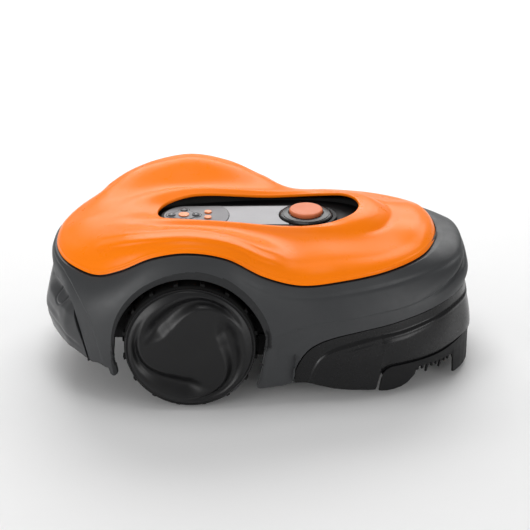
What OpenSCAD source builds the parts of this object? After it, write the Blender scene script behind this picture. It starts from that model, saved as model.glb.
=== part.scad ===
// Robotic lawn mower: a floating orange and grey cover over a wheeled chassis
// with a console, two driven wheels, two casters and a height-adjustable cutter.
// +X is forward, +Y is the mower's left, +Z is up; the origin is on the ground under the middle.

/* [Covers] */
// Thickness of the moulded covers
shell_t = 2.4; // [1.8:0.1:2.8]
// Gap between neighbouring cover panels
seam_gap = 1.4; // [1:0.1:1.8]
// Depth of the rolled lip round the console slot
lip_drop = 4; // [3:0.5:6]

/* [Drive wheels] */
// Diameter over the tyre lugs
wheel_d = 164; // [160:1:166]
// Width of the tyre
tyre_w = 34; // [30:1:34]
// Height of the tyre lugs
lug_h = 3; // [2:0.5:4]
// Lugs in each of the two rows
lug_count = 16; // [12:1:20]
// Diameter of the hub cap
hub_cap_d = 155; // [148:1:156]

/* [Casters] */
// Diameter of the front caster wheels
caster_d = 50; // [46:1:52]
// Width of the front caster wheels
caster_w = 18; // [14:1:20]
// Trail from the swivel axis to the caster axle
caster_trail = 16; // [12:1:17]

/* [Cutter] */
// Cutting width over the blade tips
cut_w = 160; // [150:2:164]
// Lowest cutting height
cut_low = 20; // [20:1:24]
// Travel of the cutting height
cut_travel = 25; // [15:1:25]
// Number of pivoting blades
blade_count = 3; // [3:1:3]

/* [Chassis] */
// Wall of the chassis tub
tub_wall = 3; // [2.5:0.5:3.5]
// Height of the tub floor above the ground
tub_floor_z = 40; // [38:1:42]

/* [Console] */
// Diameter of the height dial
dial_d = 66; // [60:1:68]
// Diameter of the stop button
stop_d = 42; // [36:1:44]
// Travel of the stop button
stop_travel = 3; // [2:0.5:3]
// Running gap round a key
key_gap = 0.3; // [0.3:0.05:0.5]

/* [Hidden] */

// Guide curves of the covers, one row per station from the nose round the side to the tail.
// The right side is drawn with positive y here and is placed at -Y; the left side mirrors it.
// Lower edge of the orange cover
SEAM = [[222, 0, 163.5], [214.5, 48, 164.5], [193, 88, 163], [150, 119, 158.5], [98, 134, 153.5],
    [50, 140.5, 151.5], [5, 144, 165], [-38, 147, 189.5], [-83, 147.5, 197.8], [-126, 143, 190],
    [-165, 132, 169], [-196, 115, 156], [-228, 82, 155], [-245, 44, 155], [-250.5, 0, 155]];
// Crest of the cover: the fender ridge at the side, the shoulder at nose and tail
RIDGE = [[204, 0, 181], [196, 40, 180.5], [176, 70, 174], [140, 96, 172], [92, 107, 173],
    [46, 115, 172], [9, 122, 186], [-32, 121.5, 204.5], [-80, 124, 214.5], [-124, 118, 210.5],
    [-160, 106, 202], [-190, 86, 188], [-214, 60, 177], [-230, 32, 171], [-236, 0, 170]];
// Valley between the fenders and the raised rim of the slot
VALLEY = [[168, 0, 186], [162, 26, 186], [147, 48, 184.5], [118, 62, 184], [74, 66, 185.5],
    [36, 66, 187], [2, 64, 190], [-32, 62, 194], [-70, 61, 196.5], [-104, 60, 196.5],
    [-134, 54, 195], [-158, 43, 192.5], [-174, 30, 190], [-183, 15, 188], [-186, 0, 187.5]];
// Edge of the slot over the console
LIP = [[127, 0, 199], [122, 22, 198.5], [108, 38, 196.7], [85, 47.5, 193], [58, 51, 190.8],
    [30, 49.5, 190.5], [5, 47.5, 191.3], [-25, 46, 193.4], [-55, 44.5, 195.3], [-80, 41, 196],
    [-98, 34.5, 194.6], [-112, 27, 192], [-120, 19, 190], [-124.5, 10, 189], [-126, 0, 188.7]];
// Widest outline of the body below the waist; the last column shapes the wall above the waist
GIRTH = [[259.5, 0, 14], [253, 58, 9], [228, 104, 4], [180, 136, 2.2], [120, 153, 1.9],
    [62, 158.5, 2], [8, 161, 3.5], [-38, 162.5, 6], [-83, 163, 7], [-128, 162, 6],
    [-172, 156, 4.5], [-208, 138, 4], [-238, 100, 4.5], [-254, 52, 6], [-259.5, 0, 7]];
last_station = len(SEAM) - 1;
station_step = 45;      // mean distance between two stations along the side
waist_z = 80;           // the wall leans in above this height
tuck_in = 0.05;         // share by which the wall draws in at the ground
nose_flare = 0.038;     // share by which the nose widens towards its foot
pinch = 0.018;          // share by which it draws in just below the tail seam
pinch_z = 119;
pinch_h = 12;

// Seams below the grey shell, as [station, height]
NOSE_SEAM = [[0, 117.5], [1, 117], [1.5, 115.8], [1.86, 114.2], [2.21, 111.7], [2.53, 108.3],
    [2.99, 104.3], [3.38, 100.4], [3.83, 97], [4.3, 92.6], [4.61, 88.3], [4.87, 82.5],
    [5.09, 73.4], [5.23, 62.5], [5.32, 51], [5.38, 40.6], [5.41, 29.5]];
TAIL_SEAM = [[10.94, 54], [11.15, 80.7], [11.35, 102], [11.53, 117.6], [11.75, 125.5],
    [12, 128.5], [12.4, 129], [13, 128.5], [14, 127.5]];
// Lower edges of the fascia, the tail panel and the guard below the fascia
FASCIA_EDGE = [[0, 56], [0.8, 56], [1.1, 55.5], [1.45, 54], [1.77, 51.5], [2.14, 47.6], [2.4, 46],
    [2.67, 45.2], [3.03, 45.2], [3.36, 44.5], [3.47, 41], [3.53, 35.6], [3.56, 28], [3.59, 11.3],
    [3.9, 13.6], [4.42, 18.3], [4.8, 24.5], [5.09, 29], [5.41, 29.3]];
TAIL_EDGE = [[10.94, 54], [11.3, 58], [11.72, 61], [12.47, 61.5], [14, 60]];
guard_fingers = [for (i = [0:7]) let (k = 1.78 + 0.125 * i, tip = (i + 1) % 3 == 0 ? 24 : 30)
    each [[k, 35], [k + 0.005, tip], [k + 0.045, tip], [k + 0.05, 35]]];
GUARD_EDGE = concat([[0, 7], [0.2, 7], [0.22, 31], [0.38, 31], [0.55, 31], [0.57, 7], [0.8, 7],
    [1.05, 7.3], [1.3, 7.6], [1.5, 8], [1.62, 8.5], [1.64, 27], [1.68, 34]], guard_fingers,
    [[2.74, 24], [2.79, 20], [2.87, 15], [3, 11], [3.15, 9.2], [3.32, 8.8], [3.42, 9.5],
    [3.49, 10.5]]);

wheel_x = -83;
wheel_z = wheel_d / 2;
wheel_in = 126;         // inner face of the tyre
hub_face = 170;         // outermost point of the hub cap
hub_cap_h = 12;
arch_r = wheel_d / 2 + 6.5;
arch_flare = 3;         // the arch widens by this much towards the axle's height
arch_station = 8.033;   // station at the middle of the arch
nose_plate_end = 1.65;  // last station of the guard's nose plate, which hangs straight down
nose_plate_z = 38;
tail_end = 11.06;       // first station of the tail panel
// The steep parts of the seams need a wider gap than their height: lookups are this far ahead
fascia_back = 0.02;
tail_back = 0.04;
flange_in = 3.4;        // the guard's flange stands this far behind the fascia's face
flange_h = 12;
rim_up = 3.4;           // height of the slot's rim over a straight line from lip to valley
cover_up = 0.9;         // the orange cover starts this far above its seam line
axle_r = 6;
rim_r = wheel_d / 2 - lug_h - 3.5;
running = 0.05;         // radial clearance of a shaft in its bore
through = 300;          // longer than any hole
screw_r = 2;
screw_hole_r = 2.4;
screw_head_r = 4;

tub_top = 112;
gasket_t = 1;
lid_t = 3;
lid_z = tub_top + gasket_t;
lid_top = lid_z + lid_t;
TUB_SIDE = [[-215, 96], [-199, 112], [18, 112], [32, 126], [150, 126], [212, 84]];
// The tub is narrower below the shelf, where it clears the ground beside the wheels
shelf_z = 82;
KEEL_SIDE = [[-215, 50], [-160, 50], [-152, 112], [-8, 112], [-2, 92], [24, 92], [34, 126],
    [150, 126], [212, 84]];
SCREWS = [[-201, 98], [-135, 106], [-30, 106], [100, 120], [206, 50]];

cutter_x = 15;
cutter_well_r = cut_w / 2 + 12;
cutter_well_z = 62;
carriage_r = 28;
carriage_z = 56;        // underside of the carriage at the lowest cutting height
carriage_top = 112;
collar_r = carriage_r + 0.3;
spindle_r = 4;
disc_r = 66;
disc_z = cut_low + 1.6; // underside of the blade disc
blade_t = 1;
blade_z = cut_low;
blade_pivot = 58;
skid_r = 52;

caster_x = 150;
caster_y = 74;
caster_well_r = caster_trail + caster_d / 2 + 7;
caster_well_z = caster_d + 9;
stem_r = 5;

tower_x = [-121, 99];   // console tower, from tail to nose
tower_w = 66;
tower_top = 177;
bezel_z = tower_top;
panel_z = bezel_z + 3.5;
panel_top = panel_z + 3.5;
dial_x = 60;
height_rod_r = 5;
key_travel = 0.8;
key_up_by = 1.2;        // keys stand this far above their panel
key_stem_r = 2;
pad_x = -92;
seam_x = -84;           // the keypad's front edge is an arc round this point
seam_r = 48;
arrow_at = 15;          // distance of an arrow key from the middle of the pad

contact_x = 250;        // front face of the charging contacts
contact_y = 22;
contact_z = 25;
contact_t = 3;

PILLARS = [[128, 52], [-150, 62]];
pillar_z = 150;

orange = "darkorange";
grey = "#47494b";
black = "#18191a";
steel = "silver";

// ---- curves ----

function flip(p) = [p.x, -p.y, p.z];

// Point of a guide at station t, smooth and mirrored across the middle plane at both ends
function guide(g, t) = t < 0 ? flip(guide(g, -t)) :
    let (n = len(g) - 1, i = min(floor(t), n - 1), f = t - i,
         b = g[i], c = g[i + 1],
         a = i > 0 ? g[i - 1] : flip(c),
         d = i < n - 1 ? g[i + 2] : flip(b))
    (2 * b + (c - a) * f + (2 * a - 5 * b + 4 * c - d) * f^2 + (3 * b - a - 3 * c + d) * f^3) / 2;

// Direction of a smooth curve through the points p at point i
function heading(p, i) =
    i == 0 ? (p[1] - p[0]) / norm(p[1] - p[0]) :
    i == len(p) - 1 ? (p[i] - p[i - 1]) / norm(p[i] - p[i - 1]) :
    let (a = norm(p[i] - p[i - 1]), b = norm(p[i + 1] - p[i]))
    ((p[i] - p[i - 1]) * b / a + (p[i + 1] - p[i]) * a / b) / (a + b);

// Point between the points i and i + 1 of a smooth curve
function between(p, i, f) =
    let (h = norm(p[i + 1] - p[i]))
    p[i] * (2 * f^3 - 3 * f^2 + 1) + heading(p, i) * h * (f^3 - 2 * f^2 + f)
    + p[i + 1] * (3 * f^2 - 2 * f^3) + heading(p, i + 1) * h * (f^3 - f^2);

// Smooth curve through the points p, with steps[i] pieces after point i
function smooth(p, steps) = [
    for (i = [0:len(p) - 2]) for (j = [0:steps[i] - 1]) between(p, i, j / steps[i]),
    p[len(p) - 1]];

// Smooth step from 0 at lo to 1 at hi
function rise(lo, hi, v) =
    let (u = min(max((v - lo) / (hi - lo), 0), 1)) u * u * (3 - 2 * u);

// Point of the side wall at a station and a height
function wall(k, z) =
    let (s = guide(SEAM, k), g = guide(GIRTH, k),
         lean = pow(max(z - waist_z, 0) / (s.z - waist_z), g.z),
         tuck = 1 - tuck_in * pow(max(waist_z - z, 0) / waist_z, 2)
             - pinch * rise(11.5, 12.5, k) * rise(pinch_h, 0, abs(z - pinch_z))
             + nose_flare * rise(2.6, 0.6, k) * rise(110, 40, z),
         x = g.x + (s.x - g.x) * lean, y = g.y + (s.y - g.y) * lean)
    [x * tuck, y * tuck, z];

// ---- thin shells from a grid of points ----

// Outward normal of grid point i, j; columns run nose to tail, rows run bottom to top
function normal(g, i, j, closed) =
    let (n = len(g), m = len(g[0]),
         before = closed ? (i + n - 1) % n : max(i - 1, 0),
         after = closed ? (i + 1) % n : min(i + 1, n - 1),
         c = cross(g[i][min(j + 1, m - 1)] - g[i][max(j - 1, 0)], g[after][j] - g[before][j]))
    c / norm(c);

// A closed solid of thickness t behind the grid
module shell(g, t, closed = false) {
    n = len(g);
    m = len(g[0]);
    ring = 2 * m;
    points = [for (i = [0:n - 1]) each [
        for (j = [0:m - 1]) g[i][j],
        for (j = [m - 1:-1:0]) g[i][j] - t * normal(g, i, j, closed)]];
    function at(i, j) = (i % n) * ring + j % ring;
    skin = [for (i = [0:closed ? n - 1 : n - 2], j = [0:ring - 1]) each [
        [at(i, j), at(i + 1, j), at(i + 1, j + 1)], [at(i, j), at(i + 1, j + 1), at(i, j + 1)]]];
    ends = closed ? [] : [for (j = [0:m - 2]) each [
        [at(0, j), at(0, j + 1), at(0, ring - 2 - j)],
        [at(0, j), at(0, ring - 2 - j), at(0, ring - 1 - j)],
        [at(n - 1, j + 1), at(n - 1, j), at(n - 1, ring - 2 - j)],
        [at(n - 1, ring - 2 - j), at(n - 1, j), at(n - 1, ring - 1 - j)]]];
    polyhedron(points, concat(skin, ends), convexity = 8);
}

// Columns that start in the middle plane become a set on both sides, in order round the body
function right_side(half) = [for (c = half) [for (p = c) flip(p)]];
function backwards(half) = [for (i = [len(half) - 1:-1:1]) half[i]];
function around(half) = concat(right_side(half), [for (i = [len(half) - 2:-1:1]) half[i]]);
function across_nose(half) = concat(backwards(half), right_side(half));
function across_tail(half) = concat(backwards(right_side(half)), half);

module at_both_sides() {
    children();
    mirror([0, 1, 0]) children();
}

// ---- covers ----

function cover_column(k) =
    let (s = guide(SEAM, k), r = guide(RIDGE, k), v = guide(VALLEY, k), e = guide(LIP, k),
         bulge = [r.x + (s.x - r.x) * 0.72, r.y + (s.y - r.y) * 0.72, s.z + (r.z - s.z) * 0.55],
         rim = e + (v - e) * 0.4 + [0, 0, rim_up],
         inner = e - (v - e) * 0.03)
    concat(smooth([s + [0, 0, cover_up], bulge, r, v, rim, e], [1, 2, 4, 2, 1]),
           [[inner.x, inner.y, e.z - lip_drop]]);

module top_cover() color(orange)
    shell(around([for (i = [0:52]) cover_column(i * last_station / 52)]), shell_t, closed = true);

// Lower edge of the grey shell, as [station, height, station of the seam above it]
function arch_point(a) = [
    arch_station - (arch_r + arch_flare * pow(cos(a), 6)) / station_step * cos(a),
    wheel_z + arch_r * sin(a), 8.09 - 2.11 * cos(a)];
ARCH_FRONT = [[5.41, 29.5, 5.3], [5.55, 26.5, 5.38], [5.67, 25, 5.42], [5.95, 25.2, 5.48],
    [6.22, 25.5, 5.54], [6.165, 38, 5.66], [6.11, 51.3, 5.76], [6.07, 64.5, 5.82],
    [6.03, 76, 5.91]];
ARCH_REAR = [[10.09, 71, 10.28], [10.05, 52, 10.34], [10.06, 42, 10.37], [10.14, 40.3, 10.4],
    [10.22, 41.5, 10.43], [10.3, 50, 10.47], [10.4, 51, 10.54], [10.65, 53.7, 10.72]];
function grey_edge() = concat(
    [for (i = [0:17]) let (k = i * 0.3) [k, lookup(k, NOSE_SEAM), k]],
    [[5.23, 62.5, 5.16], [5.33, 50, 5.21], [5.38, 40.6, 5.25]],
    ARCH_FRONT, [for (i = [0:24]) arch_point(i * 7.5)], ARCH_REAR,
    [[10.94, 54, 10.93], [11.05, 68, 11.03], [11.15, 80.7, 11.14]],
    [for (i = [0:9]) let (k = 11.3 + i * 0.3) [k, lookup(k, TAIL_SEAM), k]]);

function grey_column(edge) =
    let (top = guide(SEAM, edge[2]), r = guide(RIDGE, edge[2]),
         inward = [r.x - top.x, r.y - top.y, 0], gap = [0, 0, seam_gap])
    concat([for (v = [0:7])
                let (f = v / 7)
                wall(edge[0] + (edge[2] - edge[0]) * f,
                     edge[1] + (top.z - seam_gap - edge[1]) * f)],
           [top + inward / norm(inward) * 8 - gap]);

module grey_shell() color(grey)
    shell(around([for (e = grey_edge()) grey_column(e)]), shell_t, closed = true);

// Level unit vector pointing out of the wall
function outward(k, z) =
    let (run = wall(k + 0.01, z) - wall(k - 0.01, z))
    [run.y, -run.x, 0] / norm(run);

// A panel below the grey shell, bulging out between its two edges
function panel_column(k, high, low, bulge) =
    [for (v = [0:8])
        let (f = v / 8, z = low + (high - low) * f)
        wall(k, z) + outward(k, z) * bulge * sin(180 * f)];

FASCIA_STATIONS = [for (i = [0:13]) i * 0.23, 3.2, 3.36, 3.47, 3.53, 3.56, 3.59, 3.75, 3.9,
    4.1, 4.3, 4.5, 4.7, 4.87, 5, 5.1, 5.2, 5.27, 5.33];
module front_fascia() color(black)
    shell(across_nose([for (k = FASCIA_STATIONS)
        panel_column(k, lookup(k + fascia_back, NOSE_SEAM) - seam_gap, lookup(k, FASCIA_EDGE), 1)]),
        shell_t);

module tail_panel() color(black)
    shell(across_tail([for (i = [0:18])
        let (k = last_station + (tail_end - last_station) * i / 18)
        panel_column(k, lookup(k - tail_back, TAIL_SEAM) - seam_gap, lookup(k, TAIL_EDGE), 4.4)]),
        shell_t);

// Guard below the fascia: side panels, a comb of fingers and a nose plate with two notches for
// the charging prongs, with a flange that laps behind the fascia
function guard_point(k, z) =
    let (p = wall(k, k < nose_plate_end ? max(z, nose_plate_z) : z)) [p.x, p.y, z];
function guard_column(k) =
    let (high = lookup(k + 0.04, FASCIA_EDGE) - seam_gap, low = lookup(k, GUARD_EDGE),
         back = outward(k, high) * flange_in)
    concat([for (v = [0:3]) guard_point(k, low + (high - low) * v / 3)],
           [guard_point(k, high) - back, guard_point(k, high + flange_h) - back]);

module comb_guard() color(black)
    shell(across_nose([for (p = GUARD_EDGE) guard_column(p[0])]), shell_t);

// Cross bar inside the covers with a socket over each pillar
module shell_brace(x, y, half_w) color(black)
    difference() {
        union() {
            translate([x - 9, -half_w, pillar_z]) cube([18, 2 * half_w, 4]);
            for (s = [-1, 1]) translate([x, s * y, pillar_z]) cylinder(h = 16, r = 13);
        }
        for (s = [-1, 1]) translate([x, s * y, pillar_z - 1]) cylinder(h = 14, r = 8.4);
    }

module shell_brace_front() shell_brace(PILLARS[0].x, PILLARS[0].y, 115.7);
module shell_brace_rear() shell_brace(PILLARS[1].x, PILLARS[1].y, 144);

// Rubber pillars that carry the covers and let them shift on the chassis
module float_pillars() color(black)
    for (p = PILLARS) for (s = [-1, 1]) translate([p.x, s * p.y, 0]) {
        translate([0, 0, lid_top + 0.3]) cylinder(h = 5, r = 15);
        translate([0, 0, lid_top + 0.3]) cylinder(h = pillar_z - lid_top - 0.6, r1 = 13, r2 = 10);
        translate([0, 0, pillar_z - 1]) cylinder(h = 12, r = 8);
    }

// ---- chassis ----

// Outline with the given right side, drawn in by the inset
module outline(points, inset) {
    side = [for (p = points) [p.x - sign(p.x) * (abs(p.x) > 200 ? inset : 0), p.y - inset]];
    polygon(concat(side, [for (i = [len(side) - 1:-1:0]) [side[i].x, -side[i].y]]));
}
module tub_outline(inset) outline(TUB_SIDE, inset);
module keel_outline(inset) offset(delta = -inset) outline(KEEL_SIDE, 0);

module at_screws() for (p = SCREWS) for (s = [-1, 1]) translate([p.x, s * p.y, 0]) children();

module chassis_tub() color(black)
    difference() {
        union() {
            difference() {
                union() {
                    translate([0, 0, shelf_z]) linear_extrude(tub_top - shelf_z) tub_outline(0);
                    translate([0, 0, tub_floor_z])
                        linear_extrude(shelf_z + 1 - tub_floor_z) keel_outline(0);
                }
                translate([0, 0, shelf_z + tub_wall]) linear_extrude(tub_top) tub_outline(tub_wall);
                translate([0, 0, tub_floor_z + tub_wall])
                    linear_extrude(tub_top) keel_outline(tub_wall);
            }
            translate([cutter_x, 0, tub_floor_z])
                cylinder(h = cutter_well_z + tub_wall - tub_floor_z, r = cutter_well_r + tub_wall);
            translate([cutter_x, 0, cutter_well_z]) cylinder(h = 22, r = collar_r + 5);
            for (s = [-1, 1]) translate([caster_x, s * caster_y, 0]) {
                translate([0, 0, tub_floor_z])
                    cylinder(h = caster_well_z + tub_wall - tub_floor_z, r = caster_well_r + 2);
                translate([0, 0, caster_well_z]) cylinder(h = 30, r = 10);
            }
            at_screws() translate([0, 0, shelf_z + 1])
                cylinder(h = tub_top - shelf_z - 1, r = 5);
            for (s = [-1, 1]) translate([0, s * contact_y - 6, contact_z - 4.5]) {
                translate([200, 0, 0]) cube([contact_x - contact_t - 200.2, 12, 9]);
                translate([200, 0, 0]) cube([9, 12, tub_floor_z + 1 - contact_z + 4.5]);
            }
        }
        translate([cutter_x, 0, 0]) {
            cylinder(h = cutter_well_z, r = cutter_well_r);
            cylinder(h = tub_top, r = collar_r);
        }
        for (s = [-1, 1]) translate([caster_x, s * caster_y, 0]) {
            cylinder(h = caster_well_z, r = caster_well_r);
            cylinder(h = caster_well_z + 26, r = stem_r + running);
        }
        at_screws() translate([0, 0, tub_top - 14]) cylinder(h = 20, r = screw_r);
        translate([wheel_x, 0, wheel_z]) rotate([90, 0, 0])
            cylinder(h = through, r = axle_r + 5, center = true);
        translate([-197, -47, 0]) cube([76, 94, tub_floor_z + tub_wall + 1]);
        translate([-190, 70, shelf_z - 1]) cube([17, 12, tub_wall + 2]);
    }

module lid_gasket() color("dimgray")
    translate([0, 0, tub_top]) linear_extrude(gasket_t) difference() {
        tub_outline(0.4);
        tub_outline(tub_wall - 0.4);
    }

module chassis_lid() color(black)
    difference() {
        union() {
            translate([0, 0, lid_z]) linear_extrude(lid_t) tub_outline(0);
            translate([tower_x[0], -tower_w / 2, lid_z])
                cube([tower_x[1] - tower_x[0], tower_w, tower_top - lid_z]);
        }
        translate([tower_x[0] + 3, 3 - tower_w / 2, lid_z - 1])
            cube([tower_x[1] - tower_x[0] - 6, tower_w - 6, tower_top - lid_z - 2]);
        translate([dial_x, 0, 0]) cylinder(h = through, r = height_rod_r + running);
        at_screws() cylinder(h = through, r = screw_hole_r);
    }

module lid_screws() color(steel) at_screws() {
    translate([0, 0, lid_top]) cylinder(h = 2.4, r = screw_head_r);
    translate([0, 0, tub_top - 12]) cylinder(h = lid_top - tub_top + 12, r = screw_r);
}

module charge_contacts() color("gold")
    for (s = [-1, 1]) translate([contact_x - contact_t, s * contact_y - 7, contact_z - 4.8])
        cube([contact_t, 14, 9.6]);

module gear_motor() color("dimgray")
    difference() {
        union() {
            translate([wheel_x - 26, -108.5, wheel_z - 28]) cube([52, 28, 56]);
            translate([wheel_x, -81, wheel_z]) rotate([-90, 0, 0]) cylinder(h = 56, r = 17);
        }
        translate([wheel_x, -109, wheel_z]) rotate([-90, 0, 0])
            cylinder(h = 26, r = axle_r + running);
    }
module gear_motor_right() gear_motor();
module gear_motor_left() mirror([0, 1, 0]) gear_motor();

module battery_pack() color("royalblue") {
    translate([-196, -46, tub_floor_z + 5]) cube([74, 92, 20]);
    for (i = [0:3]) translate([-186.5 + i * 18.4, -46, tub_floor_z + 33]) rotate([-90, 0, 0])
        cylinder(h = 92, r = 9);
    translate([-196, -46, tub_floor_z + 20]) cube([74, 92, 14]);
}

module battery_door() color(black)
    difference() {
        translate([-196.6, -46.6, tub_floor_z]) cube([75.2, 93.2, 3]);
        for (s = [-1, 1]) translate([-159, s * 40, 0])
            cylinder(h = through, r = screw_hole_r);
    }

module door_screws() color(steel)
    for (s = [-1, 1]) translate([-159, s * 40, tub_floor_z - 2]) {
        cylinder(h = 2, r = screw_head_r);
        cylinder(h = 6.5, r = screw_r);
    }

module main_board() color("darkgreen") {
    translate([-200, -72, 98]) cube([84, 144, 1.6]);
    for (p = [[-190, -50], [-160, 5], [-185, 40]]) translate([p.x, p.y, 99.6]) cube([18, 22, 4]);
    for (p = [[-132, -40], [-132, 30]]) translate([p.x, p.y, 99.6]) cylinder(h = 9, r = 5);
}

module loop_sensor() color("saddlebrown") {
    translate([180, 0, 70]) rotate([90, 0, 0]) cylinder(h = 50, r = 6, center = true);
    for (s = [-1, 1]) translate([180, s * 20, tub_floor_z + tub_wall]) translate([-4, -3, 0])
        cube([8, 6, 24]);
}

// ---- console ----

// A rectangle with one or both ends round
module tongue(from_x, to_x, w, h) {
    linear_extrude(h) {
        translate([from_x + w / 2, 0]) circle(d = w);
        translate([to_x - w / 2, 0]) circle(d = w);
        translate([from_x + w / 2, -w / 2]) square([to_x - from_x - w, w]);
    }
}

module console_bezel() color(black)
    difference() {
        translate([0, 0, bezel_z]) tongue(-120, 98, 64, panel_top - 1 - bezel_z);
        translate([0, 0, panel_z]) tongue(-117, -48, 58, 10);
        translate([-88, -29, panel_z]) cube([128, 58, 10]);
        translate([dial_x, 0, panel_z - 1]) cylinder(h = 10, r = dial_d / 2 + 0.6);
        translate([dial_x, 0, 0]) cylinder(h = through, r = height_rod_r + running);
        for (p = KEY_PLACES) translate([p.x, p.y, 0]) cylinder(h = through, r = key_stem_r + 0.4);
    }

// Keys: the one in the middle of the pad, its four arrows and the two beside the pad
KEY_PLACES = [[pad_x, 0], [pad_x, arrow_at], [pad_x, -arrow_at], [pad_x - arrow_at, 0],
    [pad_x + arrow_at, 0], [-62, 8.5], [-62, -8.5]];
KEY_RADII = [6.5, 4.6, 4.6, 4.6, 4.6, 4.4, 4.4];

module keypad_panel() color("#3a3c40")
    difference() {
        translate([0, 0, panel_z]) {
            intersection() {
                tongue(-116.5, -20, 57, panel_top - panel_z);
                translate([seam_x, 0, 0]) cylinder(h = 10, r = seam_r);
            }
            translate([pad_x, 0, panel_top - panel_z]) linear_extrude(0.6) {
                rotate(45) square(27, center = true);
                for (a = [0:90:270]) rotate(a) translate([arrow_at, 0]) circle(r = 6.4);
            }
        }
        for (i = [0:len(KEY_PLACES) - 1]) translate([KEY_PLACES[i].x, KEY_PLACES[i].y, 0])
            cylinder(h = through, r = KEY_RADII[i] + key_gap);
    }

module window_panel() color("#5b5e62")
    difference() {
        translate([-62, -28.5, panel_z]) cube([100, 57, panel_top - panel_z - 0.5]);
        translate([seam_x, 0, 0]) cylinder(h = through, r = seam_r + 0.8);
        translate([dial_x, 0, 0]) cylinder(h = through, r = dial_d / 2 + 1.2);
    }

// A push key: a cap in its panel and a stem through the bezel
module key(i) translate([KEY_PLACES[i].x, KEY_PLACES[i].y, 0]) {
    foot = panel_z + key_travel + 0.2;
    translate([0, 0, foot]) cylinder(h = panel_top + 0.6 + key_up_by - foot, r = KEY_RADII[i]);
    translate([0, 0, tower_top + 0.9]) cylinder(h = foot - tower_top - 0.4, r = key_stem_r);
}
module key_ok() color(orange) key(0);
module key_left() color("dimgray") key(1);
module key_right() color("dimgray") key(2);
module key_down() color("dimgray") key(3);
module key_up() color("dimgray") key(4);
module key_upper() color(orange) key(5);
module key_lower() color(orange) key(6);

module height_dial() color(black)
    translate([dial_x, 0, 0]) difference() {
        union() {
            translate([0, 0, bezel_z + 3]) cylinder(h = 5.5, r = dial_d / 2);
            translate([0, 0, bezel_z + 8.5]) cylinder(h = 2, r1 = dial_d / 2 - 1, r2 = dial_d / 2 - 4);
        }
        translate([0, 0, bezel_z + 6]) cylinder(h = 20, r = stop_d / 2 + 0.5);
        cylinder(h = through, r = height_rod_r - 0.5);
    }

// Rod from the dial down through the nut of the carriage
module height_spindle() color(steel)
    translate([dial_x, 0, 84]) cylinder(h = bezel_z + 3 - 84, r = height_rod_r);

module stop_button() color("orangered")
    translate([dial_x, 0, 0]) {
        translate([0, 0, bezel_z + 6.2 + stop_travel])
            cylinder(h = 4.8, r = stop_d / 2);
        translate([0, 0, bezel_z + 11 + stop_travel])
            cylinder(h = 1.4, r1 = stop_d / 2, r2 = stop_d / 2 - 2);
    }

// Rocker on the underside, tilted to its off position
module power_switch() color("firebrick")
    translate([-181.5, 81, shelf_z + 2]) rotate([90, 10, 0]) {
        linear_extrude(10) polygon([[-7, -3], [0, -1.9], [7, -3], [7, 3.5], [-7, 3.5]]);
        translate([0, 0, -0.8]) cylinder(h = 11.6, r = 1.5);
    }

// ---- cutter ----

module at_cutter() translate([cutter_x, 0, 0]) children();

module cutter_carriage() color("dimgray")
    difference() {
        union() {
            at_cutter() translate([0, 0, carriage_z])
                cylinder(h = carriage_top - carriage_z, r = carriage_r);
            translate([cutter_x + carriage_r - 4, -6, 100])
                cube([dial_x - cutter_x - carriage_r + 4, 12, 8]);
            translate([dial_x, 0, 98]) cylinder(h = 12, r = 9);
        }
        at_cutter() {
            translate([0, 0, carriage_z + 5]) cylinder(h = 60, r = carriage_r - 3);
            cylinder(h = 80, r = spindle_r + running);
        }
        translate([dial_x, 0, 90]) cylinder(h = 30, r = height_rod_r + running);
    }

module cutter_motor() color(steel)
    at_cutter() difference() {
        translate([0, 0, carriage_z + 5]) cylinder(h = 46, r = carriage_r - 3.5);
        translate([0, 0, carriage_z]) cylinder(h = 30, r = spindle_r + running);
    }

module cutter_spindle() color(steel)
    at_cutter() translate([0, 0, disc_z + 3]) cylinder(h = carriage_z + 25 - disc_z - 3, r = spindle_r);

module blade_disc() color(black)
    at_cutter() difference() {
        union() {
            translate([0, 0, disc_z]) cylinder(h = 3, r = disc_r);
            translate([0, 0, disc_z + 3]) cylinder(h = 6, r1 = 40, r2 = 20);
            translate([0, 0, disc_z - 7]) cylinder(h = 8, r = 8);
        }
        translate([0, 0, disc_z + 3]) cylinder(h = 20, r = spindle_r);
        for (i = [1:blade_count]) rotate(i * 360 / blade_count) translate([blade_pivot, 0, 0])
            cylinder(h = 60, r = 2);
    }

module blade_screws() color(steel)
    at_cutter() for (i = [1:blade_count]) rotate(i * 360 / blade_count)
        translate([blade_pivot, 0, 0]) {
            translate([0, 0, blade_z - 1.7]) cylinder(h = 1.5, r = 4);
            translate([0, 0, blade_z - 0.5]) cylinder(h = disc_z + 3 - blade_z, r = 2);
        }

module blade(i) color(steel)
    at_cutter() rotate(i * 360 / blade_count) translate([blade_pivot, 0, blade_z]) difference() {
        translate([-5, -8, 0]) cube([cut_w / 2 - blade_pivot + 4.5, 16, blade_t]);
        translate([0, 0, -1]) cylinder(h = 4, r = 2 + running);
    }
module blade_1() blade(1);
module blade_2() blade(2);
module blade_3() blade(3);

// Free-turning dish that slides over the ground under the blades
module skid_plate() color(black)
    at_cutter() difference() {
        union() {
            translate([0, 0, cut_low - 9]) cylinder(h = 3, r1 = skid_r - 20, r2 = skid_r);
            translate([0, 0, cut_low - 6]) cylinder(h = 1.6, r = skid_r);
        }
        translate([0, 0, cut_low - 5.9]) cylinder(h = 20, r = 8 + running);
    }

// ---- wheels ----

// A wheel part drawn round +Z from its inner face, moved to the right-hand axle
module at_wheel(y) translate([wheel_x, -y, wheel_z]) rotate([90, 0, 0]) children();

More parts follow.
